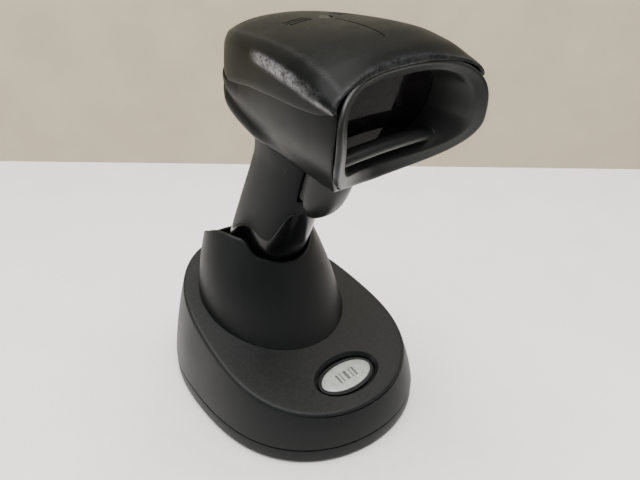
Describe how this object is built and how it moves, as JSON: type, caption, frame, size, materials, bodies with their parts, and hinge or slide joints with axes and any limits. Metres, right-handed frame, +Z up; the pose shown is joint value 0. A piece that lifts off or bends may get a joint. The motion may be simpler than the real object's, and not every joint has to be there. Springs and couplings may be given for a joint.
{
  "type": "handheld barcode scanner",
  "caption": "Pistol-grip cordless barcode reader standing nose-down in an oval charging cradle, with a sprung trigger, a tinted reading window and a page button.",
  "frame": {"origin": "middle of the outline's footprint on the table plane, under the rubber feet", "axes": "+X to the object's left seen from its front, across the symmetric width; -Y the way the reading window faces; +Z up"},
  "size_m": [0.1016, 0.141, 0.178],
  "materials": {
    "head_plastic": "worn satin black",
    "bezel_plastic": "satin, lightly scuffed",
    "window_tint": "polished dark red-black filter",
    "black_rubber": "matt",
    "cast_alloy": "cast",
    "black_part": "moulded",
    "lens_glass": "coated",
    "circuit_board": "solder mask",
    "led_resin": "clear resin",
    "brass_part": "turned",
    "steel_can": "drawn can",
    "flex_film": "polyimide film",
    "light_pipe": "clear",
    "grip_plastic": "satin black",
    "cap_plastic": "semi-gloss black",
    "cell_wrap": "shrink wrap",
    "steel_part": "plated",
    "gold_contact": "gold flash",
    "trigger_plastic": "satin",
    "red_part": "moulded",
    "cradle_plastic": "fine texture",
    "liner_plastic": "smooth",
    "badge_print": "silver-grey plate with a plain row of grey bars"
  },
  "bodies": {
    "cradle": {"base_cover": "cradle_plastic", "base_plate": "cradle_plastic", "cradle_neck": "cradle_plastic", "cup_liner": "liner_plastic", "contact_block": "liner_plastic", "pin_springs": "steel_part", "base_board": "circuit_board", "page_board": "circuit_board", "page_switch": "black_part", "neck_screws": "steel_part", "plate_screws": "steel_part", "rubber_feet": "black_rubber", "host_jack": "black_part", "power_jack": "black_part"},
    "contact_pins": {"charge_pins": "gold_contact"},
    "call_button": {"page_button": "cradle_plastic", "page_badge": "badge_print"},
    "handset": {"top_cover": "head_plastic", "head_housing": "head_plastic", "nose_bezel": "bezel_plastic", "exit_window": "window_tint", "window_gasket": "black_rubber", "engine_chassis": "cast_alloy", "lens_barrel": "black_part", "lens_glass": "lens_glass", "image_sensor_board": "circuit_board", "illumination_leds": "led_resin", "aimer_module": "brass_part", "main_board": "circuit_board", "radio_module": "steel_can", "beeper": "black_part", "flex_cable": "flex_film", "status_light_pipe": "light_pipe", "handle_shell": "grip_plastic", "battery_cap": "cap_plastic", "battery_cell": "cell_wrap", "battery_contacts": "steel_part", "cap_screw": "steel_part", "charge_pads": "gold_contact", "head_screws": "steel_part", "trigger_pin": "steel_part", "trigger_spring": "steel_part", "trigger_switch": "black_part"},
    "trigger_lever": {"trigger": "trigger_plastic"},
    "plunger": {"switch_plunger": "red_part"}
  },
  "joints": [
    {"name": "handset_lift", "type": "slide", "parent": "cradle", "child": "handset", "axis": [0, -0.3907, 0.9205], "range_m": [0, 0.1]},
    {"name": "trigger_pull", "type": "hinge", "parent": "handset", "child": "trigger_lever", "pos_m": [0, -0.01151, 0.1202], "axis": [1, 0, 0], "range_deg": [0, 5]},
    {"name": "switch_press", "type": "slide", "parent": "handset", "child": "plunger", "axis": [0, 0.9205, 0.3907], "range_m": [0, 0.0014]},
    {"name": "pin_press", "type": "slide", "parent": "cradle", "child": "contact_pins", "axis": [0, -0.3907, 0.9205], "range_m": [-0.0012, 0]},
    {"name": "button_press", "type": "slide", "parent": "cradle", "child": "call_button", "axis": [0, -0.2233, 0.9748], "range_m": [-0.0008, 0]}
  ],
  "couplings": [
    {"joint": "switch_press", "follows": "trigger_pull", "m_per_rad": 0.0142}
  ]
}
